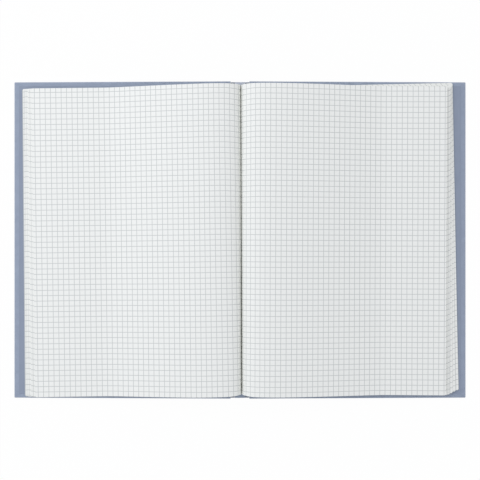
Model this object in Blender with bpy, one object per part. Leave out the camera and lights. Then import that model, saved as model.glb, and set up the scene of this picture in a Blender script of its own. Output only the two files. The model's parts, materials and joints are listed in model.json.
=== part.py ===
"""A4 case-bound squared notebook, lying open at its middle.

+X is the reader's right, +Y the head of the pages, +Z up. The front cover lies at -X, the back cover at +X,
and the origin is on the table under the middle of the spine. Sizes here are millimetres; the meshes are metres.
"""

import math

import bmesh
import bpy

MM = 0.001

# Case: boards, cloth and endpapers
COVER_REACH = 212.0
COVER_OVERHANG = 3.8
BOARD_THICKNESS = 2.0
CLOTH_THICKNESS = 0.25
TURN_IN_WIDTH = 15.0
SPINE_SHORTFALL = 0.4
HINGE_TO_BOARD = 1.2
PASTEDOWN_THICKNESS = 0.15
PASTEDOWN_FORE_MARGIN = 4.2
FLYLEAF_THICKNESS = 0.15

# Text block: leaves sewn in sections, half of them on each cover
LEAF_WIDTH = 198.6
LEAF_HEIGHT = 289.4
LEAF_THICKNESS = 0.09
LEAVES_PER_SECTION = 8
SECTIONS_PER_SIDE = 6

# Spine of the block: lining, gauze and thread
LINING_THICKNESS = 0.2
LINING_END_MARGIN = 5.5
MULL_THICKNESS = 0.15
MULL_TO_TURN_IN = 8.5
MULL_FLAP_WIDTH = 25.0
THREAD_DIAMETER = 0.3
SEWING_END_MARGIN = 30.5
SEWING_STATIONS = 6

# Open shape: the fan at the fore-edges and the arch beside the gutter
FORE_EDGE_FAN = 10.0
ARCH_RISE = 4.0
FRONT_ARCH_LENGTH = 44.0
BACK_ARCH_LENGTH = 48.0
ARCH_LEAN = math.radians(72.0)
ARCH_STEPS = 16
FLAT_RUN = 2.0
LEAF_CUT_STEPS = (3, 7, 11)

# Air between glued or stacked layers
LAYER_GAP = 0.05

# Heights of the layers, counted up from the table
board_bottom = CLOTH_THICKNESS + LAYER_GAP
board_top = board_bottom + BOARD_THICKNESS
turn_in_bottom = board_top + LAYER_GAP
turn_in_top = turn_in_bottom + CLOTH_THICKNESS
pastedown_bottom = turn_in_top + LAYER_GAP
pastedown_top = pastedown_bottom + PASTEDOWN_THICKNESS
page_base = pastedown_top + LAYER_GAP
lining_bottom = turn_in_top + LAYER_GAP
mull_bottom = lining_bottom + LINING_THICKNESS + LAYER_GAP
thread_bottom = mull_bottom + MULL_THICKNESS + LAYER_GAP
fold_base = thread_bottom + THREAD_DIAMETER + LAYER_GAP

# Depths in one half of the block, counted from the cover towards the opening
section_thickness = LEAVES_PER_SECTION * LEAF_THICKNESS
section_pitch = section_thickness + LAYER_GAP
first_section_depth = FLYLEAF_THICKNESS + LAYER_GAP
top_leaf_depth = first_section_depth + SECTIONS_PER_SIDE * section_pitch
block_half = top_leaf_depth + LEAF_THICKNESS + LAYER_GAP

# Hinge lines, and the edges that follow from them
hinge_height = CLOTH_THICKNESS / 2
hinge_reach = block_half + page_base - hinge_height
board_edge = hinge_reach + HINGE_TO_BOARD
spine_half = block_half - 2 * LAYER_GAP
leaf_half_height = LEAF_HEIGHT / 2
cover_half_height = leaf_half_height + COVER_OVERHANG
spine_half_height = cover_half_height - SPINE_SHORTFALL
lining_half_height = leaf_half_height - LINING_END_MARGIN
mull_half_height = cover_half_height - TURN_IN_WIDTH - MULL_TO_TURN_IN
sewing_span = LEAF_HEIGHT - 2 * SEWING_END_MARGIN

CLOTH = ((0.275, 0.328, 0.445), 0.8)
GREYBOARD = ((0.34, 0.32, 0.29), 0.9)
ENDPAPER = ((0.227, 0.266, 0.352), 0.75)
PAPER = ((0.84, 0.85, 0.84), 0.7)
GAUZE = ((0.75, 0.73, 0.66), 0.9)
KRAFT = ((0.45, 0.36, 0.25), 0.85)
THREAD = ((0.86, 0.85, 0.8), 0.6)

FRONT = -1
BACK = 1

bodies = {}


class Arch:
    """The curve of the leaves in one section, drawn as on the front side of the book.

    depth is the distance from the cover to the middle of the section. Shut, the leaves stand upright on the
    spine. Open, each leaf turns a quarter turn about the pole, a little at a time along the arch.
    """

    def __init__(self, side, depth):
        share = depth / block_half
        full_length = FRONT_ARCH_LENGTH if side == FRONT else BACK_ARCH_LENGTH
        self.reach = block_half + LEAF_WIDTH - FORE_EDGE_FAN * share
        overlap = fold_base + LEAF_WIDTH - self.reach - block_half - page_base
        self.pole_x = overlap / 2
        self.pole_z = self.pole_x + block_half + page_base
        self.start_x = depth - block_half
        self.start_z = fold_base + ARCH_RISE * share
        self.length = full_length * share

    def point(self, depth, t):
        """Where the leaf at this depth lies, for t from 0 at the arch's start to 1 at its end."""
        turn = math.pi / 2 * t * t * (3 - 2 * t)
        cosine = math.cos(turn)
        sine = math.sin(turn)
        lean_x = -math.cos(ARCH_LEAN)
        lean_z = math.sin(ARCH_LEAN)
        aside = depth - block_half - self.pole_x
        from_start_x = self.pole_x + aside * cosine - self.start_x
        from_start_z = self.pole_z + aside * sine - self.start_z
        still_to_go = t * self.length - lean_x * from_start_x - lean_z * from_start_z
        above = still_to_go / (lean_z * cosine - lean_x * sine)
        return (
            self.pole_x + aside * cosine - above * sine,
            self.pole_z + aside * sine + above * cosine,
        )

    def path(self, depth):
        """The leaf's points along the arch, from its start to its end."""
        return [self.point(depth, step / ARCH_STEPS) for step in range(ARCH_STEPS + 1)]


def add_body(name, parent, pivot):
    """An empty on the body's joint axis; the body's pieces hang on it."""
    empty = bpy.data.objects.new(name + "_pivot", None)
    empty.location = [value * MM for value in pivot]
    if parent:
        empty.parent = bodies[parent][0]
        empty.location = [(value - base) * MM for value, base in zip(pivot, bodies[parent][1])]
    bpy.context.collection.objects.link(empty)
    bodies[name] = (empty, pivot)


def finish_of(name, colour, roughness):
    material = bpy.data.materials.new(name)
    material.use_nodes = True
    shader = material.node_tree.nodes["Principled BSDF"]
    shader.inputs["Base Color"].default_value = (*colour, 1.0)
    shader.inputs["Roughness"].default_value = roughness
    shader.inputs["Metallic"].default_value = 0.0
    return material


def place(data, name, body, finish):
    """Link a mesh or curve made around the body's pivot, in metres."""
    piece = bpy.data.objects.new(name, data)
    data.materials.append(finish_of(name, *finish))
    piece.parent = bodies[body][0]
    bpy.context.collection.objects.link(piece)
    return piece


def add_piece(name, shape, body, finish):
    """Turn a shape in world millimetres into an object on its body."""
    pivot = bodies[body][1]
    bmesh.ops.translate(shape, verts=shape.verts, vec=[-value for value in pivot])
    bmesh.ops.scale(shape, verts=shape.verts, vec=(MM, MM, MM))
    mesh = bpy.data.meshes.new(name)
    shape.to_mesh(mesh)
    shape.free()
    return place(mesh, name, body, finish)


def slab(side, inner, outer, half_height, bottom, top):
    """A flat sheet from x = inner to x = outer on one side of the book, even about y = 0."""
    shape = bmesh.new()
    bmesh.ops.create_cube(shape, size=1.0)
    bmesh.ops.scale(shape, verts=shape.verts, vec=(outer - inner, 2 * half_height, top - bottom))
    middle = (side * (inner + outer) / 2, 0.0, (bottom + top) / 2)
    bmesh.ops.translate(shape, verts=shape.verts, vec=middle)
    return shape


def bent_sheet(side, lower, upper, half_height):
    """A sheet between two curves of as many points each, run along Y."""
    shape = bmesh.new()
    rows = []
    for curve in (lower, upper):
        rows.append([shape.verts.new((-side * x, -half_height, z)) for x, z in curve])
    for step in range(len(lower) - 1):
        shape.faces.new((rows[0][step], rows[0][step + 1], rows[1][step + 1], rows[1][step]))
    grown = bmesh.ops.extrude_face_region(shape, geom=shape.faces[:])
    moved = [item for item in grown["geom"] if isinstance(item, bmesh.types.BMVert)]
    bmesh.ops.translate(shape, verts=moved, vec=(0.0, 2 * half_height, 0.0))
    bmesh.ops.recalc_face_normals(shape, faces=shape.faces[:])
    return shape


def cut_away(piece, name, shape, body):
    """Cut a shape out of a piece, and keep the cutter as a hidden guide."""
    cutter = add_piece(name, shape, body, GREYBOARD)
    cutter.hide_render = True
    cutter.display_type = "WIRE"
    cut = piece.modifiers.new(name, "BOOLEAN")
    cut.operation = "DIFFERENCE"
    cut.object = cutter


def build_cover(side, word):
    """A board wrapped in cloth on three sides, with the mull's flap and the pastedown glued over it."""
    body = word + "_cover"
    edge = COVER_REACH - CLOTH_THICKNESS - LAYER_GAP
    ends = cover_half_height - CLOTH_THICKNESS - LAYER_GAP
    board = slab(side, board_edge, edge, ends, board_bottom, board_top)
    add_piece(word + "_board", board, body, GREYBOARD)

    wrap = slab(side, board_edge, COVER_REACH, cover_half_height, 0.0, turn_in_top)
    cloth = add_piece(word + "_cover_cloth", wrap, body, CLOTH)
    bed = slab(
        side,
        board_edge - TURN_IN_WIDTH,
        edge + LAYER_GAP,
        ends + LAYER_GAP,
        CLOTH_THICKNESS,
        turn_in_bottom,
    )
    cut_away(cloth, word + "_board_bed", bed, body)
    window = slab(
        side,
        board_edge - TURN_IN_WIDTH,
        COVER_REACH - TURN_IN_WIDTH,
        cover_half_height - TURN_IN_WIDTH,
        board_top,
        turn_in_top + CLOTH_THICKNESS,
    )
    cut_away(cloth, word + "_turn_in_window", window, body)

    flap = slab(
        side,
        board_edge,
        board_edge + MULL_FLAP_WIDTH,
        mull_half_height,
        turn_in_bottom,
        turn_in_bottom + MULL_THICKNESS,
    )
    add_piece(word + "_mull_flap", flap, body, GAUZE)

    pastedown = slab(
        side,
        board_edge,
        COVER_REACH - PASTEDOWN_FORE_MARGIN,
        leaf_half_height,
        pastedown_bottom,
        pastedown_top,
    )
    add_piece(word + "_pastedown", pastedown, body, ENDPAPER)

    joint = slab(
        side,
        spine_half + LAYER_GAP,
        board_edge - LAYER_GAP,
        spine_half_height,
        0.0,
        CLOTH_THICKNESS,
    )
    add_piece(word + "_joint_cloth", joint, "spine", CLOTH)


def build_spine():
    """The spine's board in its cloth, then the lining and gauze on the back of the block."""
    ends = spine_half_height - CLOTH_THICKNESS - LAYER_GAP
    board = slab(BACK, -spine_half, spine_half, ends, board_bottom, board_top)
    add_piece("spine_board", board, "spine", GREYBOARD)

    wrap = slab(BACK, -spine_half, spine_half, spine_half_height, 0.0, turn_in_top)
    cloth = add_piece("spine_cloth", wrap, "spine", CLOTH)
    over = block_half
    bed = slab(BACK, -over, over, ends + LAYER_GAP, CLOTH_THICKNESS, turn_in_bottom)
    cut_away(cloth, "spine_board_bed", bed, "spine")
    window = slab(
        BACK,
        -over,
        over,
        spine_half_height - TURN_IN_WIDTH,
        board_top,
        turn_in_top + CLOTH_THICKNESS,
    )
    cut_away(cloth, "spine_turn_in_window", window, "spine")

    lining_top = lining_bottom + LINING_THICKNESS
    lining = slab(BACK, -spine_half, spine_half, lining_half_height, lining_bottom, lining_top)
    add_piece("spine_lining", lining, "spine", KRAFT)

    mull_top = mull_bottom + MULL_THICKNESS
    mull = slab(BACK, -spine_half, spine_half, mull_half_height, mull_bottom, mull_top)
    add_piece("spine_mull", mull, "spine", GAUZE)


def build_thread():
    """One thread that crosses the folds at each sewing station and runs on to the next."""
    pivot = bodies["spine"][1]
    across = spine_half - THREAD_DIAMETER
    height = thread_bottom + THREAD_DIAMETER / 2
    spacing = sewing_span / (SEWING_STATIONS - 1)
    curve = bpy.data.curves.new("sewing_thread", "CURVE")
    curve.dimensions = "3D"
    curve.bevel_depth = THREAD_DIAMETER / 2 * MM
    curve.bevel_resolution = 2
    curve.use_fill_caps = True
    line = curve.splines.new("POLY")
    line.points.add(2 * SEWING_STATIONS - 1)
    for station in range(SEWING_STATIONS):
        y = sewing_span / 2 - station * spacing
        begins = across if station % 2 else -across
        for end, x in enumerate((begins, -begins)):
            corner = (x - pivot[0], y - pivot[1], height - pivot[2])
            line.points[2 * station + end].co = (*[value * MM for value in corner], 1.0)
    place(curve, "sewing_thread", "spine", THREAD)


def build_section(side, word, rank, number):
    """One section: its fold and arch on the spine, and the flat leaves that swing with the cover.

    rank counts from the cover, number from the front of the book.
    """
    low = first_section_depth + rank * section_pitch
    high = low + section_thickness
    arch = Arch(side, (low + high) / 2)
    lower = [(low - block_half, fold_base)] + arch.path(low)
    upper = [(high - block_half, fold_base)] + arch.path(high)
    flat_from = lower[-1][0] - FLAT_RUN
    lower.append((flat_from, page_base + low))
    upper.append((flat_from, page_base + high))

    body = f"{word}_section_{rank + 1}"
    name = f"section_{number:02d}"
    fold = bent_sheet(side, lower, upper, leaf_half_height)
    add_piece(name + "_fold", fold, "spine", PAPER)
    bottom = page_base + low
    top = page_base + high
    leaves = slab(side, LAYER_GAP - flat_from, arch.reach, leaf_half_height, bottom, top)
    add_piece(name + "_leaves", leaves, body, PAPER)


def build_flyleaf(side, word):
    """The free half of the endpaper, under the first section."""
    top = page_base + FLYLEAF_THICKNESS
    reach = block_half + LEAF_WIDTH
    sheet = slab(side, board_edge, reach, leaf_half_height, page_base, top)
    add_piece(word + "_flyleaf", sheet, word + "_section_1", ENDPAPER)


def top_arch():
    """The arch of the back section next to the opening."""
    return Arch(BACK, top_leaf_depth - LAYER_GAP - section_thickness / 2)


def leaf_strips():
    """The top leaf's underside and upper side, cut into strips that hinge on each other."""
    arch = top_arch()
    under = arch.path(top_leaf_depth)
    over = arch.path(top_leaf_depth + LEAF_THICKNESS)
    for sheet, depth in ((under, top_leaf_depth), (over, top_leaf_depth + LEAF_THICKNESS)):
        sheet.append((-arch.reach, page_base + depth))
    cuts = (*LEAF_CUT_STEPS, len(under) - 1)
    strips = []
    for first, last in zip(cuts, cuts[1:]):
        sides = [sheet[first : last + 1] for sheet in (under, over)]
        if last < len(under) - 1:
            for curve in sides:
                (back_x, back_z), (end_x, end_z) = curve[-2:]
                share = LAYER_GAP / math.hypot(end_x - back_x, end_z - back_z)
                curve[-1] = (end_x + share * (back_x - end_x), end_z + share * (back_z - end_z))
        strips.append(sides)
    return strips


def build_turning_leaf():
    """The leaf on top of the back half, which lifts from the gutter and turns over to the front half."""
    parent = f"back_section_{SECTIONS_PER_SIDE}"
    for number, (under, over) in enumerate(leaf_strips(), start=1):
        body = f"leaf_strip_{number:02d}"
        hinge_x, hinge_z = under[0]
        add_body(body, parent, (-BACK * hinge_x, 0.0, hinge_z))
        strip = bent_sheet(BACK, under, over, leaf_half_height)
        add_piece(f"turning_leaf_{number:02d}", strip, body, PAPER)
        parent = body


for leftover in list(bpy.data.objects):
    bpy.data.objects.remove(leftover)

add_body("back_cover", None, (0.0, 0.0, 0.0))
add_body("spine", "back_cover", (hinge_reach, 0.0, hinge_height))
add_body("front_cover", "spine", (-hinge_reach, 0.0, hinge_height))

for cover_side, cover_word in ((FRONT, "front"), (BACK, "back")):
    build_cover(cover_side, cover_word)
    for section_rank in range(SECTIONS_PER_SIDE):
        mid_depth = first_section_depth + section_rank * section_pitch + section_thickness / 2
        hinge = Arch(cover_side, mid_depth)
        section_body = f"{cover_word}_section_{section_rank + 1}"
        add_body(section_body, "spine", (-cover_side * hinge.pole_x, 0.0, hinge.pole_z))
        from_front = section_rank + 1
        if cover_side == BACK:
            from_front = 2 * SECTIONS_PER_SIDE - section_rank
        build_section(cover_side, cover_word, section_rank, from_front)
    build_flyleaf(cover_side, cover_word)

build_spine()
build_thread()
build_turning_leaf()
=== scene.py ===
"""Looks of an A4 squared notebook lying open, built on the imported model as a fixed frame."""

import json
import math
import random
from types import SimpleNamespace

import bmesh
import bpy
import numpy as np
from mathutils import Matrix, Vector

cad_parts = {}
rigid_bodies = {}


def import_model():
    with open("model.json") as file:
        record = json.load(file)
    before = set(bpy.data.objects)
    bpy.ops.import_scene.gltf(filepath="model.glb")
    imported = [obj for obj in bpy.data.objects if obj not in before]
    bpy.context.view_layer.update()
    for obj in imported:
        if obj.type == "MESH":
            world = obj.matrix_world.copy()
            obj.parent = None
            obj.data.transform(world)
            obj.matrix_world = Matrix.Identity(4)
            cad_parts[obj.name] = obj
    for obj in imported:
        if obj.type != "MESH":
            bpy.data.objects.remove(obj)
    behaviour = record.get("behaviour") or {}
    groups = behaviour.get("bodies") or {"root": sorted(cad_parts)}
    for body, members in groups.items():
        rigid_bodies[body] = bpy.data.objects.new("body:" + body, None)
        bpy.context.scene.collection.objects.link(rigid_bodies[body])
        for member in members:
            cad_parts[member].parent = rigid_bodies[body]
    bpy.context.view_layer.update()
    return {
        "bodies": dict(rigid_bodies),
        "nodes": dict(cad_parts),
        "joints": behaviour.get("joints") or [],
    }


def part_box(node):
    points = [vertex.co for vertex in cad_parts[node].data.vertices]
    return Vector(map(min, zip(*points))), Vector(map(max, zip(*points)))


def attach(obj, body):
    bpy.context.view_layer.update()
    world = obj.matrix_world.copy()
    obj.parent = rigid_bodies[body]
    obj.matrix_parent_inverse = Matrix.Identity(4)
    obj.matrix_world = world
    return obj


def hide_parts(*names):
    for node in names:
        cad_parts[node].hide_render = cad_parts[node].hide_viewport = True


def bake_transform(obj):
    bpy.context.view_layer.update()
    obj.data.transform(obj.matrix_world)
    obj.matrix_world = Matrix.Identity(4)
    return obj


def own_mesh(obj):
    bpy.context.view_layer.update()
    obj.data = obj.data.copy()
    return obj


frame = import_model()

# Boards: grey millboard cut to size for the two covers and the spine.
# They stay as the frame has them, and show only where the cloth stops at the joints.
MM = 0.001
MIX_FIRST = 6
MIX_SECOND = 7
MIX_COLOUR = 2
FIBRE_SHARE = 0.6
CLOUD_SCALE = 0.04
BOARD_SHADES = ((0.22, 0.21, 0.19), (0.46, 0.43, 0.39))


def add_node(tree, kind, inputs=None, **settings):
    """A shader node with its settings, and its inputs set to a value or linked to another node's output."""
    node = tree.nodes.new(kind)
    for name, value in settings.items():
        setattr(node, name, value)
    for key, value in (inputs or {}).items():
        if isinstance(value, bpy.types.NodeSocket):
            tree.links.new(value, node.inputs[key])
        else:
            node.inputs[key].default_value = value
    return node


def maths(tree, operation, *values):
    node = add_node(tree, "ShaderNodeMath", dict(enumerate(values)), operation=operation)
    return node.outputs[0]


def start_group(name, inputs, outputs):
    """An empty shader group of numbers; only its input named Vector is a place on the surface."""
    tree = bpy.data.node_groups.new(name, "ShaderNodeTree")
    for label, value in inputs.items():
        kind = "NodeSocketVector" if label == "Vector" else "NodeSocketFloat"
        socket = tree.interface.new_socket(label, in_out="INPUT", socket_type=kind)
        if value is not None:
            socket.default_value = value
    for label in outputs:
        tree.interface.new_socket(label, in_out="OUTPUT", socket_type="NodeSocketFloat")
    return tree, tree.nodes.new("NodeGroupInput").outputs, tree.nodes.new("NodeGroupOutput").inputs


def place_group(tree, group, **inputs):
    return add_node(tree, "ShaderNodeGroup", inputs, node_tree=group).outputs


fibre_grain, grain_in, grain_out = start_group(
    "fibre_grain", {"Vector": None, "Scale": 900.0, "Stretch": 1.0}, ("Tone", "Height")
)
grain_axes = add_node(fibre_grain, "ShaderNodeSeparateXYZ", {0: grain_in["Vector"]}).outputs
grain_along = maths(fibre_grain, "MULTIPLY", grain_axes[1], grain_in["Stretch"])
grain_place = add_node(
    fibre_grain, "ShaderNodeCombineXYZ", {0: grain_axes[0], 1: grain_along, 2: grain_axes[2]}
).outputs[0]
fine_fibre = add_node(
    fibre_grain,
    "ShaderNodeTexNoise",
    {"Vector": grain_place, "Scale": grain_in["Scale"], "Detail": 5.0, "Roughness": 0.6},
).outputs[0]
cloud_scale = maths(fibre_grain, "MULTIPLY", grain_in["Scale"], CLOUD_SCALE)
broad_cloud = add_node(
    fibre_grain, "ShaderNodeTexNoise", {"Vector": grain_place, "Scale": cloud_scale, "Detail": 3.0}
).outputs[0]
fibre_tone = maths(fibre_grain, "MULTIPLY", fine_fibre, FIBRE_SHARE)
grain_tone = maths(fibre_grain, "MULTIPLY_ADD", broad_cloud, 1.0 - FIBRE_SHARE, fibre_tone)
fibre_grain.links.new(grain_tone, grain_out["Tone"])
fibre_grain.links.new(fine_fibre, grain_out["Height"])


def start_material(name, roughness):
    """A new material with its Principled shader, and the rest of its surface still to be wired."""
    material = bpy.data.materials.new(name)
    material.use_nodes = True
    shader = material.node_tree.nodes["Principled BSDF"]
    shader.inputs["Roughness"].default_value = roughness
    return material, material.node_tree, shader


def mix_colours(tree, share, first, second):
    """The colour at a share from 0 to 1 between two others, each a shade or another node's output.

    A Mix node's colour sockets go by number, because its sockets of other kinds share their names.
    """
    ends = [(*colour, 1.0) if isinstance(colour, tuple) else colour for colour in (first, second)]
    inputs = {"Factor": share, MIX_FIRST: ends[0], MIX_SECOND: ends[1]}
    return add_node(tree, "ShaderNodeMix", inputs, data_type="RGBA").outputs[MIX_COLOUR]


def wire_surface(tree, shader, colour, height, bump, strength=1.0):
    """Link a colour and a height in the pattern to the shader; bump is how far the height stands out."""
    relief = add_node(tree, "ShaderNodeBump", {"Height": height, "Distance": bump, "Strength": strength})
    tree.links.new(colour, shader.inputs["Base Color"])
    tree.links.new(relief.outputs[0], shader.inputs["Normal"])


def grained_material(name, roughness, shades, bump, group, uv_map=None, **grain_inputs):
    """A matt material with one grain group for tone and bump, laid by the object's axes or by a UV map."""
    material, tree, shader = start_material(name, roughness)
    if uv_map:
        place = add_node(tree, "ShaderNodeUVMap", uv_map=uv_map).outputs[0]
    else:
        place = add_node(tree, "ShaderNodeTexCoord").outputs["Object"]
    grain = place_group(tree, group, Vector=place, **grain_inputs)
    wire_surface(tree, shader, mix_colours(tree, grain["Tone"], *shades), grain["Height"], bump)
    return material


def dress(node, material):
    """Give a solid of the frame its material."""
    materials = frame["nodes"][node].data.materials
    materials.clear()
    materials.append(material)


greyboard = grained_material(
    "greyboard", roughness=0.92, shades=BOARD_SHADES, bump=0.1 * MM, group=fibre_grain, Scale=1400.0
)
for board in ("front_board", "back_board", "spine_board"):
    dress(board, greyboard)

# Book cloth: a plain weave of blue-grey cotton on a paper backing, glued round the boards and turned in at
# the edges. The same cloth bridges the joints, and the open edges of the turn-ins lie under the endpapers.
CLOTH = 0.25 * MM
CLOTH_THREADS = 2200.0
CLOTH_SHADES = ((0.243, 0.290, 0.386), (0.408, 0.470, 0.577))
# The pale colour of rubbed edges, also used for a painted highlight on the turned-in cloth at the spine's
# head.
CLOTH_WORN_AND_HIGHLIT = (0.52, 0.56, 0.64)
CLOTH_BUMP = 0.08 * MM
THREAD_SHARE = 0.45
SLUB_SCALE = 0.06
WEAR_AND_HIGHLIGHT_PATCHES = 160.0
TURN_IN = 15.0 * MM
EDGE_ROUND = 0.8 * MM
EDGE_RUB = 0.9
# Painted highlight: how pale the turned-in cloth at the spine's head is painted, where light catches its
# fold.
HEAD_HIGHLIGHT = 3.0
JOINT_DIP = 0.9 * MM
JOINT_COLUMNS = 10
JOINT_ROWS = 12
FORE_EDGE_PROUD = 0.4 * MM
COVER_FLARE = 0.9 * MM
SPINE_PROUD = 0.6 * MM
SHARP_EDGE = math.radians(35.0)
TOLERANCE = 0.1 * MM

woven_threads, weave_in, weave_out = start_group(
    "woven_threads", {"Vector": None, "Threads": CLOTH_THREADS}, ("Tone", "Height")
)
weave_place = add_node(
    woven_threads,
    "ShaderNodeVectorMath",
    {0: weave_in["Vector"], "Scale": weave_in["Threads"]},
    operation="SCALE",
).outputs[0]
weave_axes = add_node(woven_threads, "ShaderNodeSeparateXYZ", {0: weave_place}).outputs
warp_round = maths(woven_threads, "PINGPONG", weave_axes[0], 0.5)
weft_round = maths(woven_threads, "PINGPONG", weave_axes[1], 0.5)
warp_number = maths(woven_threads, "FLOOR", weave_axes[0])
weft_number = maths(woven_threads, "FLOOR", weave_axes[1])
crossing = maths(woven_threads, "ADD", warp_number, weft_number)
weft_above = maths(woven_threads, "PINGPONG", crossing, 1.0)
over_under = add_node(
    woven_threads,
    "ShaderNodeMix",
    {"Factor": weft_above, "A": warp_round, "B": weft_round},
    data_type="FLOAT",
).outputs[0]
thread_height = maths(woven_threads, "MULTIPLY", over_under, 2.0)
slub = add_node(
    woven_threads, "ShaderNodeTexNoise", {"Vector": weave_place, "Scale": SLUB_SCALE, "Detail": 4.0}
).outputs[0]
thread_tone = maths(woven_threads, "MULTIPLY", thread_height, THREAD_SHARE)
weave_tone = maths(woven_threads, "MULTIPLY_ADD", slub, 1.0 - THREAD_SHARE, thread_tone)
woven_threads.links.new(thread_height, weave_out["Height"])
woven_threads.links.new(weave_tone, weave_out["Tone"])

book_cloth, cloth_tree, cloth_shader = start_material("book_cloth", 0.82)
cloth_place = add_node(cloth_tree, "ShaderNodeUVMap", uv_map="cloth_grain").outputs[0]
cloth_weave = place_group(cloth_tree, woven_threads, Vector=cloth_place, Threads=CLOTH_THREADS)
cloth_colour = mix_colours(cloth_tree, cloth_weave["Tone"], *CLOTH_SHADES)
# The pale mix is real wear on the rounded edges, and at the spine's head a painted highlight.
rubbed_and_highlit = add_node(cloth_tree, "ShaderNodeAttribute", attribute_name="edge_wear_and_highlight").outputs["Fac"]
rub_and_highlight_patches = add_node(
    cloth_tree, "ShaderNodeTexNoise", {"Vector": cloth_place, "Scale": WEAR_AND_HIGHLIGHT_PATCHES, "Detail": 5.0}
).outputs[0]
rubbed_and_highlit_here = maths(cloth_tree, "MULTIPLY", rubbed_and_highlit, rub_and_highlight_patches)
worn_and_highlit_colour = mix_colours(cloth_tree, rubbed_and_highlit_here, cloth_colour, CLOTH_WORN_AND_HIGHLIT)
wire_surface(cloth_tree, cloth_shader, worn_and_highlit_colour, cloth_weave["Height"], CLOTH_BUMP)
cloth_shader.inputs["Sheen Weight"].default_value = 0.15
cloth_shader.inputs["Sheen Roughness"].default_value = 0.6


def lay_grain(shape, name):
    """Lay a pattern flat on each face in metres, along the two axes that the face spans."""
    layer = shape.loops.layers.uv.new(name)
    shape.normal_update()
    for face in shape.faces:
        steepest = max(range(3), key=lambda axis: abs(face.normal[axis]))
        across, along = ((1, 2), (0, 2), (0, 1))[steepest]
        for loop in face.loops:
            loop[layer].uv = (loop.vert.co[across], loop.vert.co[along])


def box_between(low, high):
    shape = bmesh.new()
    bmesh.ops.create_cube(shape, size=1.0)
    bmesh.ops.scale(shape, verts=shape.verts, vec=high - low)
    bmesh.ops.translate(shape, verts=shape.verts, vec=(low + high) / 2)
    return shape


def drop_faces(shape, unwanted):
    doomed = [face for face in shape.faces if unwanted(face)]
    bmesh.ops.delete(shape, geom=doomed, context="FACES")


def round_rims(shape):
    """Round every edge between two faces, and leave the open edges as they are."""
    rims = [edge for edge in shape.edges if len(edge.link_faces) == 2]
    bmesh.ops.bevel(
        shape, geom=rims, offset=EDGE_ROUND, affect="EDGES", segments=3, profile=0.5, material=-1
    )


def cut_across(shape, place, normal):
    everything = shape.verts[:] + shape.edges[:] + shape.faces[:]
    bmesh.ops.bisect_plane(shape, geom=everything, plane_co=place, plane_no=normal)


def open_turn_in(shape, low, high, fore_edges):
    """Cut the opening between the turn-ins out of the cloth's inner face."""
    for end in (low.y + TURN_IN, high.y - TURN_IN):
        cut_across(shape, (0.0, end, 0.0), (0.0, 1.0, 0.0))
    for fore_edge in fore_edges:
        cut_across(shape, (fore_edge, 0.0, 0.0), (1.0, 0.0, 0.0))

    def inside(face):
        middle = face.calc_center_median()
        within_ends = low.y + TURN_IN < middle.y < high.y - TURN_IN
        within_fore_edges = all(abs(middle.x) < abs(fore_edge) for fore_edge in fore_edges)
        return middle.z > high.z - CLOTH and within_ends and within_fore_edges

    drop_faces(shape, inside)


def finish_piece(shape, name, material):
    mesh = bpy.data.meshes.new(name)
    shape.to_mesh(mesh)
    shape.free()
    mesh.shade_smooth()
    mesh.set_sharp_from_angle(angle=SHARP_EDGE)
    mesh.materials.append(material)
    piece = bpy.data.objects.new(name, mesh)
    bpy.context.scene.collection.objects.link(piece)
    return piece


def finish_cloth(shape, name, high_z, head_highlight=0.0):
    """Mark the rubbed edges, give the cloth its thickness inwards and make it a piece.

    The last argument is how pale the turned-in cloth at the head is painted, a painted highlight on its
    fold.
    """
    wear_and_highlight_layer = shape.verts.layers.float.new("edge_wear_and_highlight")
    head = max(vert.co.y for vert in shape.verts) - 2 * EDGE_ROUND
    rim_margin = 0.1 * EDGE_ROUND
    for vert in shape.verts:
        on_rim = rim_margin < vert.co.z < high_z - rim_margin
        vert[wear_and_highlight_layer] = EDGE_RUB if on_rim and len(vert.link_faces) > 2 else 0.0
        # The turned-in cloth at the head gets a painted highlight, in the same pale colour as the worn
        # edges.
        if vert.co.y > head and vert.co.z > high_z / 2:
            vert[wear_and_highlight_layer] = max(vert[wear_and_highlight_layer], head_highlight)
    lay_grain(shape, "cloth_grain")
    bmesh.ops.solidify(shape, geom=shape.faces[:], thickness=CLOTH)
    return finish_piece(shape, name, book_cloth)


for side, word in ((-1, "front"), (1, "back")):
    low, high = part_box(word + "_cover_cloth")
    spine_side = low.x if side > 0 else high.x
    fore_edge = (high.x if side > 0 else low.x) + side * FORE_EDGE_PROUD
    low.x, high.x = sorted((spine_side, fore_edge))
    wrap = box_between(low, high)
    for vert in wrap.verts:
        if abs(vert.co.x - spine_side) < TOLERANCE:
            vert.co.y *= 1.0 + COVER_FLARE / high.y
    drop_faces(wrap, lambda face: abs(face.calc_center_median().x - spine_side) < TOLERANCE)
    round_rims(wrap)
    open_turn_in(wrap, low, high, [fore_edge - side * TURN_IN])
    cover_wrap = finish_cloth(wrap, word + "_cover_wrap", high.z)
    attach(cover_wrap, word + "_cover")
    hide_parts(word + "_cover_cloth")

    joint_low, joint_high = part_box(word + "_joint_cloth")
    strip = bmesh.new()
    bmesh.ops.create_grid(strip, x_segments=JOINT_COLUMNS, y_segments=JOINT_ROWS, size=0.5)
    inner = joint_low.x if side > 0 else joint_high.x
    outer = joint_high.x if side > 0 else joint_low.x
    for vert in strip.verts:
        share = vert.co.x + 0.5
        dip = JOINT_DIP * math.sin(math.pi * share) ** 2
        along = vert.co.y * (joint_high.y - joint_low.y + 2 * SPINE_PROUD)
        vert.co = (inner + share * (outer - inner), along, CLOTH + dip)
    if side < 0:
        bmesh.ops.reverse_faces(strip, faces=strip.faces[:])
    joint = finish_cloth(strip, word + "_joint", 0.0)
    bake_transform(joint)
    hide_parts(word + "_joint_cloth")

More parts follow.
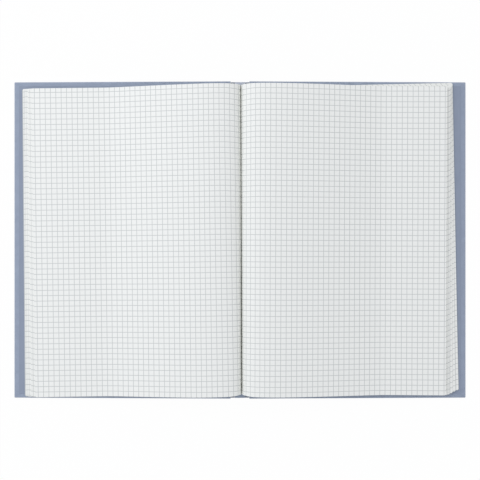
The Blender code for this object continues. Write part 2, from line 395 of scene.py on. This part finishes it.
spine_low, spine_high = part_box("spine_cloth")
spine_low.y -= SPINE_PROUD
spine_high.y += SPINE_PROUD
spine_strip = box_between(spine_low, spine_high)
drop_faces(spine_strip, lambda face: abs(face.calc_center_median().x) > 0.5 * spine_high.x)
round_rims(spine_strip)
open_turn_in(spine_strip, spine_low, spine_high, [])
spine_wrap = finish_cloth(spine_strip, "spine_wrap", spine_high.z, HEAD_HIGHLIGHT)
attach(spine_wrap, "spine")
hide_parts("spine_cloth")

# Spine of the block: an open cotton gauze glued over the folds, with a flap on each board, a strip of brown
# paper over it, and the linen thread that runs from section to section.
# All of it is under the case and the endpapers.
GAUZE_SHADES = ((0.56, 0.54, 0.47), (0.86, 0.84, 0.78))
KRAFT_SHADES = ((0.32, 0.25, 0.16), (0.58, 0.47, 0.34))
LINEN_SHADES = ((0.72, 0.70, 0.63), (0.95, 0.94, 0.90))

gauze = grained_material(
    "gauze", roughness=0.9, shades=GAUZE_SHADES, bump=0.1 * MM, group=woven_threads, Threads=900.0
)
kraft_paper = grained_material(
    "kraft_paper",
    roughness=0.85,
    shades=KRAFT_SHADES,
    bump=0.05 * MM,
    group=fibre_grain,
    Scale=1600.0,
    Stretch=0.25,
)
linen_thread = grained_material(
    "linen_thread",
    roughness=0.65,
    shades=LINEN_SHADES,
    bump=0.08 * MM,
    group=fibre_grain,
    Scale=6000.0,
    Stretch=0.4,
)

for node in ("front_mull_flap", "back_mull_flap", "spine_mull"):
    dress(node, gauze)
dress("spine_lining", kraft_paper)
dress("sewing_thread", linen_thread)

# Endpapers: blue-grey paper folded once beside the joint. One half is pasted down inside the cover, over the
# turn-ins. The other is the flyleaf, which lies with the first section and is bent with its leaves below.
ENDPAPER_SHADES = ((0.237, 0.279, 0.364), (0.313, 0.360, 0.454))

endpaper, flyleaf_paper = (
    grained_material(
        name,
        roughness=0.78,
        shades=ENDPAPER_SHADES,
        bump=0.03 * MM,
        group=fibre_grain,
        uv_map=uv_map,
        Scale=scale,
    )
    for name, uv_map, scale in (("endpaper", None, 1800.0), ("flyleaf_paper", "ruling", 9.0))
)
for word in ("front", "back"):
    dress(word + "_pastedown", endpaper)

# Sections: eight leaves of white squared paper folded together and sewn through the fold, twelve in all.
# The leaves stand on the spine, arch over beside the gutter and lie flat to the fanned fore-edge.
# Where the two halves differ, a value is given for the left, -1, and for the right, 1.
LEAVES = 8
SECTIONS = 6
LEAF_GAP = 0.012 * MM
LEAF_TRIM = 0.4 * MM
LEAF_COLUMNS = 44
LEAF_ROWS = 10
LEAF_CROWDING = 1.5
LEAF_LINE_STEPS = 120
LEAF_LINE_SPARE = 8.0 * MM
CORNER_ROUND = 1.2 * MM
CORNER_TOLERANCE = 0.01 * MM
ARCH_RISE = 4.0 * MM
ARCH_LENGTH = {-1: 44.0 * MM, 1: 48.0 * MM}
ARCH_LEAN = math.radians(72.0)
FOLD_PINCH = -0.7
FOLD_PINCH_REACH = 2.5 * MM

# The fan: how far the leaves slip at the fore-edge, from the lowest to the top one, turn in their own plane,
# slide to the tail and lift.
FAN_SPREAD = {-1: (1.15 * MM, -1.84 * MM), 1: (0.3 * MM, -2.0 * MM)}
TURN_DEGREES = {-1: (0.46, 0.32), 1: (1.3, -1.5)}
TURN_PACE = 1.35
TURN_PIVOT = {-1: 8.0 * MM, 1: 0.0}
TURN_EASE = 60.0 * MM
TURN_SCATTER = 0.0004
DROP_AND_POWER = {-1: (0.9 * MM, 1), 1: (1.3 * MM, 3)}
FORE_EDGE_LIFT = 0.5 * MM
LIFT_BEGIN = 0.55
LIFT_SPAN = 0.45

# The gutter: how the block leans and dips there, and how its two halves close up towards the head.
GUTTER_OFFSET = 1.2 * MM
GUTTER_LEAN = -0.003
GUTTER_REACH = 30.0 * MM
GUTTER_RISE = 6.0 * MM
GUTTER_DIP = 0.0045
GUTTER_DIP_REACH = 11.0 * MM
CLOSING = 0.2 * MM
CLOSING_BEGIN = -90.0 * MM
CLOSING_SPAN = 150.0 * MM

# The ruling: its first lines on the top pages and on the sections below, and its shift near the gutter.
SQUARE = 5.0 * MM
LINE_WIDTH = 0.55 * MM
LINE_SOFTNESS = 0.6
FIRST_LINE_FORE = {-1: 2.65 * MM, 1: 1.67 * MM}
FIRST_LINE_HEAD = {-1: 4.3 * MM, 1: 4.72 * MM}
LOWER_LINE_FORE = {-1: (0.4, 4.92, 4.92, 3.2, 4.95), 1: (4.78, 4.74, 3.0, 4.78, 4.84)}
LOWER_LINE_SCATTER = 0.03
RULING_SLIP = {-1: 0.4, 1: 0.3}
RULING_SCATTER = 0.06
DRAWN_OUT_AND_REACH = {-1: (3.7 * MM, 38.0 * MM), 1: (1.95 * MM, 26.0 * MM)}
DRAWN_OUT_BEGIN = -177.5 * MM
DRAWN_OUT_SPAN = 277.5 * MM
RULING_SAG = 0.9 * MM
RULING_SAG_SPAN = 140.0 * MM
RULING_SAG_REACH = 16.0 * MM

PAPER_SHADES = ((0.888, 0.892, 0.849), (0.942, 0.945, 0.900))
PAPER_GRAIN = 10.0
INK_SHADE = (0.545, 0.566, 0.548)
INK_MOTTLE = 0.4
INK_LEAST = 0.7

squared_paper, paper_tree, paper_shader = start_material("squared_paper", 0.62)
ruling_place = add_node(paper_tree, "ShaderNodeUVMap", uv_map="ruling").outputs[0]
ruling_axes = add_node(paper_tree, "ShaderNodeSeparateXYZ", {0: ruling_place}).outputs
half_line = LINE_WIDTH / SQUARE / 2
line_core = (1.0 - LINE_SOFTNESS) * half_line
line_edge = (1.0 + LINE_SOFTNESS) * half_line
ink_masks = []
for axis in (0, 1):
    from_line = maths(paper_tree, "PINGPONG", ruling_axes[axis], 0.5)
    ink_mask = add_node(
        paper_tree,
        "ShaderNodeMapRange",
        {"Value": from_line, "From Min": line_core, "From Max": line_edge, "To Min": 1.0, "To Max": 0.0},
        interpolation_type="SMOOTHSTEP",
    )
    ink_masks.append(ink_mask.outputs[0])
paper_grain = place_group(paper_tree, fibre_grain, Vector=ruling_place, Scale=PAPER_GRAIN)
paper_colour = mix_colours(paper_tree, paper_grain["Tone"], *PAPER_SHADES)
ink_strength = maths(paper_tree, "MULTIPLY_ADD", paper_grain["Tone"], INK_MOTTLE, INK_LEAST)
ink = maths(paper_tree, "MULTIPLY", maths(paper_tree, "MAXIMUM", *ink_masks), ink_strength)
ruled_colour = mix_colours(paper_tree, ink, paper_colour, INK_SHADE)
wire_surface(paper_tree, paper_shader, ruled_colour, paper_grain["Height"], 0.02 * MM, strength=0.6)

page_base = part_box("front_flyleaf")[0].z
fold_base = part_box("section_06_fold")[0].z
leaf_half_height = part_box("section_06_leaves")[1].y
joint_at = {joint["child"]: Vector(joint["pos_m"]) for joint in frame["joints"]}
rng = random.Random(11)


def clamp(share):
    return min(1.0, max(0.0, share))


def smooth(share):
    share = clamp(share)
    return share * share * (3 - 2 * share)


def section_bend(side, rank):
    """How a section bends as the book opens; rank counts from the cover, and x grows towards the opening."""
    word = "front" if side < 0 else "back"
    number = rank + 1 if side < 0 else 2 * SECTIONS - rank
    body = f"{word}_section_{rank + 1}"
    name = f"section_{number:02d}"
    low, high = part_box(name + "_leaves")
    pole_x = -side * joint_at[body].x
    pole_z = joint_at[body].z
    block_half = pole_z - pole_x - page_base
    bottom = low.z - page_base
    thickness = high.z - low.z
    share = (bottom + thickness / 2) / block_half
    outer_slip, top_slip = FAN_SPREAD[side]
    return SimpleNamespace(
        side=side,
        body=body,
        name=name,
        share=share,
        bottom=bottom,
        thickness=thickness,
        block_half=block_half,
        pole=(pole_x, pole_z),
        start=(bottom + thickness / 2 - block_half, fold_base + ARCH_RISE * share),
        length=ARCH_LENGTH[side] * share,
        reach=max(abs(low.x), abs(high.x)) + outer_slip + (top_slip - outer_slip) * share,
    )


def arch_point(bend, depth, t):
    """Where the leaf at this depth lies, for t from 0 at the arch's start to 1 at its end."""
    turn = math.pi / 2 * smooth(t)
    lean_x = -math.cos(ARCH_LEAN)
    lean_z = math.sin(ARCH_LEAN)
    aside = depth - bend.block_half - bend.pole[0]
    from_start_x = bend.pole[0] + aside * math.cos(turn) - bend.start[0]
    from_start_z = bend.pole[1] + aside * math.sin(turn) - bend.start[1]
    to_go = t * bend.length - lean_x * from_start_x - lean_z * from_start_z
    above = to_go / (lean_z * math.cos(turn) - lean_x * math.sin(turn))
    return (
        bend.pole[0] + aside * math.cos(turn) - above * math.sin(turn),
        bend.pole[1] + aside * math.sin(turn) + above * math.cos(turn),
    )


def leaf_line(bend, depth, foot):
    """The leaf's run from its foot in the fold to past the fore-edge, with the distance along it."""
    points = [(depth - bend.block_half, fold_base + foot)]
    points += [arch_point(bend, depth, step / LEAF_LINE_STEPS) for step in range(LEAF_LINE_STEPS + 1)]
    points.append((-bend.reach - LEAF_LINE_SPARE, page_base + depth))
    xs, zs = np.array(points).T
    along = np.concatenate(([0.0], np.cumsum(np.hypot(np.diff(xs), np.diff(zs)))))
    return SimpleNamespace(xs=xs, zs=zs, along=along, length=along[-1] - LEAF_LINE_SPARE)


def flat_leaf(begin, end, columns, crowding):
    """A leaf still flat: x runs from the fold to the fore-edge, with closer columns where it will arch."""
    shape = bmesh.new()
    bmesh.ops.create_grid(shape, x_segments=columns, y_segments=LEAF_ROWS, size=0.5)
    for vert in shape.verts:
        vert.co.x = begin + (end - begin) * (vert.co.x + 0.5) ** crowding
        vert.co.y *= 2 * (leaf_half_height - LEAF_TRIM)
    return shape


def round_fore_corners(shape, width):
    corner_x = width - CORNER_TOLERANCE
    corner_y = leaf_half_height - LEAF_TRIM - CORNER_TOLERANCE
    corners = [vert for vert in shape.verts if vert.co.x > corner_x and abs(vert.co.y) > corner_y]
    bmesh.ops.bevel(
        shape, geom=corners, offset=CORNER_ROUND, affect="VERTICES", segments=4, profile=0.5, material=-1
    )


def ruling_near_gutter(side, from_gutter, y):
    """Towards the head the ruling stands further out from the gutter, more on the left, and sags into it."""
    drawn_out, reach = DRAWN_OUT_AND_REACH[side]
    headward = clamp((y - DRAWN_OUT_BEGIN) / DRAWN_OUT_SPAN)
    across = drawn_out * headward * max(0.0, 1.0 - from_gutter / reach)
    along = RULING_SAG * max(0.0, y) / RULING_SAG_SPAN * (1.0 - smooth(from_gutter / RULING_SAG_REACH))
    return across, along


def bend_leaf(shape, bend, line, turn, lift, pinch=0.0, drop=0.0, slip=(0.0, 0.0)):
    """Lay a flat leaf along its line, turned a little in its own plane, and rule it.

    The block leans a little to the right at the gutter, more so at the tail, and its tail dips into it.
    Towards the head the two halves stand closer together.
    Slip is how many squares the printed ruling lies off on this sheet, across and along it.
    """
    ruling = shape.loops.layers.uv.new("ruling")
    side = bend.side
    for vert in shape.verts:
        reach, y = vert.co.x, vert.co.y
        ease = smooth(reach / TURN_EASE)
        slid = max(0.0, reach - side * y * turn * ease)
        x = float(np.interp(slid, line.along, line.xs))
        z = float(np.interp(slid, line.along, line.zs))
        x += pinch * (1.0 - smooth(reach / FOLD_PINCH_REACH))
        z += lift * smooth((reach / line.length - LIFT_BEGIN) / LIFT_SPAN) ** 2
        x *= -side
        if y < 0.0:
            y *= 1.0 - GUTTER_DIP * (1.0 - smooth(abs(x) / GUTTER_DIP_REACH))
        across, along = ruling_near_gutter(side, abs(x), y)
        for loop in vert.link_loops:
            loop[ruling].uv = (
                (line.length - reach + across - FIRST_LINE_FORE[side]) / SQUARE + slip[0],
                (leaf_half_height - y - along - FIRST_LINE_HEAD[side]) / SQUARE + slip[1],
            )
        near_gutter = (1.0 - smooth(abs(x) / GUTTER_REACH)) * smooth((z - fold_base) / GUTTER_RISE)
        closing = -side * CLOSING * smooth((y - CLOSING_BEGIN) / CLOSING_SPAN)
        x += (GUTTER_OFFSET + GUTTER_LEAN * y + closing) * near_gutter
        y += (side * (reach - TURN_PIVOT[side]) * turn - drop) * ease
        vert.co = (x, y, z)
    if side < 0:
        bmesh.ops.reverse_faces(shape, faces=shape.faces[:])


def leaf_turn_angle(side, share):
    """How far a leaf has slipped round in its own plane as the block fans out."""
    lowest, gain = TURN_DEGREES[side]
    progress = share if side < 0 else smooth(TURN_PACE * share)
    return math.radians(lowest + gain * progress)


def leaf_drop(side, share):
    """The lower leaves have also slid a little towards the tail."""
    drop, power = DROP_AND_POWER[side]
    return drop * (1.0 - share) ** power


def add_leaf(section, bend, depth, foot, pinch, turn, lift, drop, slip, thickness):
    """Bend one leaf, give it its thickness and join it to the mesh of its section."""
    line = leaf_line(bend, depth, foot)
    leaf = flat_leaf(0.0, line.length, LEAF_COLUMNS, LEAF_CROWDING)
    round_fore_corners(leaf, line.length)
    bend_leaf(leaf, bend, line, turn, lift, pinch, drop, slip)
    bmesh.ops.solidify(leaf, geom=leaf.faces[:], thickness=thickness)
    mesh = bpy.data.meshes.new("leaf")
    leaf.to_mesh(mesh)
    leaf.free()
    section.from_mesh(mesh)
    bpy.data.meshes.remove(mesh)


def follow_spine(piece):
    """Bake the piece's placement into its mesh, where it stays fixed."""
    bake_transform(piece)


for side, word in ((-1, "front"), (1, "back")):
    for rank in range(SECTIONS):
        bend = section_bend(side, rank)
        pitch = bend.thickness / LEAVES
        section = bmesh.new()
        section_slip = (0.0, 0.0)
        if rank < SECTIONS - 1:
            scatter = rng.uniform(-LOWER_LINE_SCATTER, LOWER_LINE_SCATTER)
            first_line = (LOWER_LINE_FORE[side][rank] + scatter) * MM
            section_slip = (
                (FIRST_LINE_FORE[side] - first_line) / SQUARE,
                RULING_SLIP[side] * (1.0 - bend.share) + rng.gauss(0.0, RULING_SCATTER),
            )
        for leaf in range(LEAVES):
            from_middle = leaf - (LEAVES - 1) / 2
            depth = bend.bottom + (leaf + 1) * pitch
            share = depth / bend.block_half
            add_leaf(
                section,
                bend,
                depth,
                foot=(LEAVES / 2 - abs(from_middle)) * pitch,
                pinch=FOLD_PINCH * from_middle * pitch,
                turn=leaf_turn_angle(side, share) + rng.gauss(0.0, TURN_SCATTER),
                lift=FORE_EDGE_LIFT * share**3,
                drop=leaf_drop(side, share),
                slip=section_slip,
                thickness=pitch - LEAF_GAP,
            )
        leaves = finish_piece(section, bend.name, squared_paper)
        follow_spine(leaves)
        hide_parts(bend.name + "_fold", bend.name + "_leaves")

    bend = section_bend(side, 0)
    low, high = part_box(word + "_flyleaf")
    flyleaf_shape = bmesh.new()
    add_leaf(
        flyleaf_shape,
        bend,
        high.z - page_base,
        foot=0.0,
        pinch=0.0,
        turn=leaf_turn_angle(side, 0.0),
        lift=0.0,
        drop=leaf_drop(side, 0.0),
        slip=(0.0, 0.0),
        thickness=high.z - low.z,
    )
    flyleaf = finish_piece(flyleaf_shape, word + "_free_endpaper", flyleaf_paper)
    follow_spine(flyleaf)
    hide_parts(word + "_flyleaf")

# Turning leaf: the leaf on top of the right-hand half, of the same squared paper. It lifts beside the
# gutter, and the strips between its bends stand for a sheet that curls all the way across.
TURNING_LEAF_TURN = math.radians(-0.25)
TURNING_LEAF_LIFT = 0.9 * MM
STRIP_LEAST_COLUMNS = 10
STRIP_COLUMN_WIDTH = 4.0 * MM
STRIP_CROWDING = 1.0

top_bend = section_bend(1, SECTIONS - 1)
strips = sorted(body for body in frame["bodies"] if body.startswith("leaf_strip_"))
leaf_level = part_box("turning_leaf_" + strips[-1][-2:])[0].z
leaf_pitch = top_bend.thickness / LEAVES
top_line = leaf_line(top_bend, leaf_level - page_base + leaf_pitch, 0.0)
cuts = [float(np.interp(joint_at[strip].x, -top_line.xs, top_line.along)) for strip in strips]
cuts.append(top_line.length)
for strip, begin, end in zip(strips, cuts, cuts[1:]):
    columns = STRIP_LEAST_COLUMNS + int((end - begin) / STRIP_COLUMN_WIDTH)
    sheet = flat_leaf(begin, end, columns, STRIP_CROWDING)
    if strip == strips[-1]:
        round_fore_corners(sheet, end)
    bend_leaf(sheet, top_bend, top_line, TURNING_LEAF_TURN, TURNING_LEAF_LIFT)
    bmesh.ops.solidify(sheet, geom=sheet.faces[:], thickness=leaf_pitch - LEAF_GAP)
    number = strip[-2:]
    turning_sheet = finish_piece(sheet, "leaf_sheet_" + number, squared_paper)
    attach(turning_sheet, strip)
    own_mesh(turning_sheet)
    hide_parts("turning_leaf_" + number)

# Floor and light: a plain white table under a broad soft light from the left.
# The camera looks straight down, as the photograph does.
FLOOR_DROP = 0.2 * MM
FLOOR_HALF = 3.0
TABLE_SHADE = (0.9, 0.9, 0.9)
TABLE_GLOW = 0.97
WHITE = (1.0, 1.0, 1.0)
WORLD_LIGHT = 0.721
LIGHT_TINT = (0.982, 1.0, 1.055)
SOFTBOX_SIZE = 0.9
SOFTBOX_POWER = 5.43
SOFTBOX_PLACE = (-0.85, 0.5, 0.95)
CAMERA_HEIGHT = 0.8777
CAMERA_SENSOR = 36.0
CAMERA_LENS = 69.75


def seen_directly(tree):
    """1 for a ray that shows the surface to the camera, straight or mirrored, and 0 for any other."""
    ray = add_node(tree, "ShaderNodeLightPath").outputs
    seen = maths(tree, "MAXIMUM", ray["Is Camera Ray"], ray["Is Glossy Ray"])
    return maths(tree, "MAXIMUM", seen, ray["Is Transmission Ray"])


white_table, table_tree, table_shader = start_material("white_table", 0.9)
table_shader.inputs["Base Color"].default_value = (*TABLE_SHADE, 1.0)
table_glow = add_node(table_tree, "ShaderNodeEmission", {"Color": (*WHITE, 1.0), "Strength": 1.0})
glow_share = maths(table_tree, "MULTIPLY", seen_directly(table_tree), TABLE_GLOW)
table_mix = add_node(
    table_tree, "ShaderNodeMixShader", {0: glow_share, 1: table_shader.outputs[0], 2: table_glow.outputs[0]}
)
table_tree.links.new(table_mix.outputs[0], table_tree.nodes["Material Output"].inputs["Surface"])

floor_shape = bmesh.new()
bmesh.ops.create_grid(floor_shape, x_segments=1, y_segments=1, size=FLOOR_HALF)
bmesh.ops.translate(floor_shape, verts=floor_shape.verts, vec=(0.0, 0.0, -FLOOR_DROP))
floor_mesh = bpy.data.meshes.new("floor")
floor_shape.to_mesh(floor_mesh)
floor_shape.free()
floor_mesh.materials.append(white_table)
floor = bpy.data.objects.new("floor", floor_mesh)
bpy.context.scene.collection.objects.link(floor)

studio = bpy.data.worlds.new("studio")
bpy.context.scene.world = studio
studio.use_nodes = True
studio_tree = studio.node_tree
studio_seen = seen_directly(studio_tree)
studio_level = maths(studio_tree, "MULTIPLY_ADD", studio_seen, 1.0 - WORLD_LIGHT, WORLD_LIGHT)
studio_colour = mix_colours(studio_tree, studio_seen, LIGHT_TINT, WHITE)
background = studio_tree.nodes["Background"]
studio_tree.links.new(studio_colour, background.inputs["Color"])
studio_tree.links.new(studio_level, background.inputs["Strength"])

softbox = bpy.data.lights.new("softbox", "AREA")
softbox.size = SOFTBOX_SIZE
softbox.energy = SOFTBOX_POWER
softbox.color = LIGHT_TINT
softbox_stand = bpy.data.objects.new("softbox", softbox)
softbox_stand.location = SOFTBOX_PLACE
softbox_stand.rotation_euler = (-softbox_stand.location).to_track_quat("-Z", "Y").to_euler()
bpy.context.scene.collection.objects.link(softbox_stand)

lens = bpy.data.cameras.new("camera")
lens.sensor_width = CAMERA_SENSOR
lens.lens = CAMERA_LENS
camera = bpy.data.objects.new("camera", lens)
camera.location = (0.0, 0.0, CAMERA_HEIGHT)
bpy.context.scene.collection.objects.link(camera)
bpy.context.scene.camera = camera
bpy.context.scene.view_settings.view_transform = "Standard"
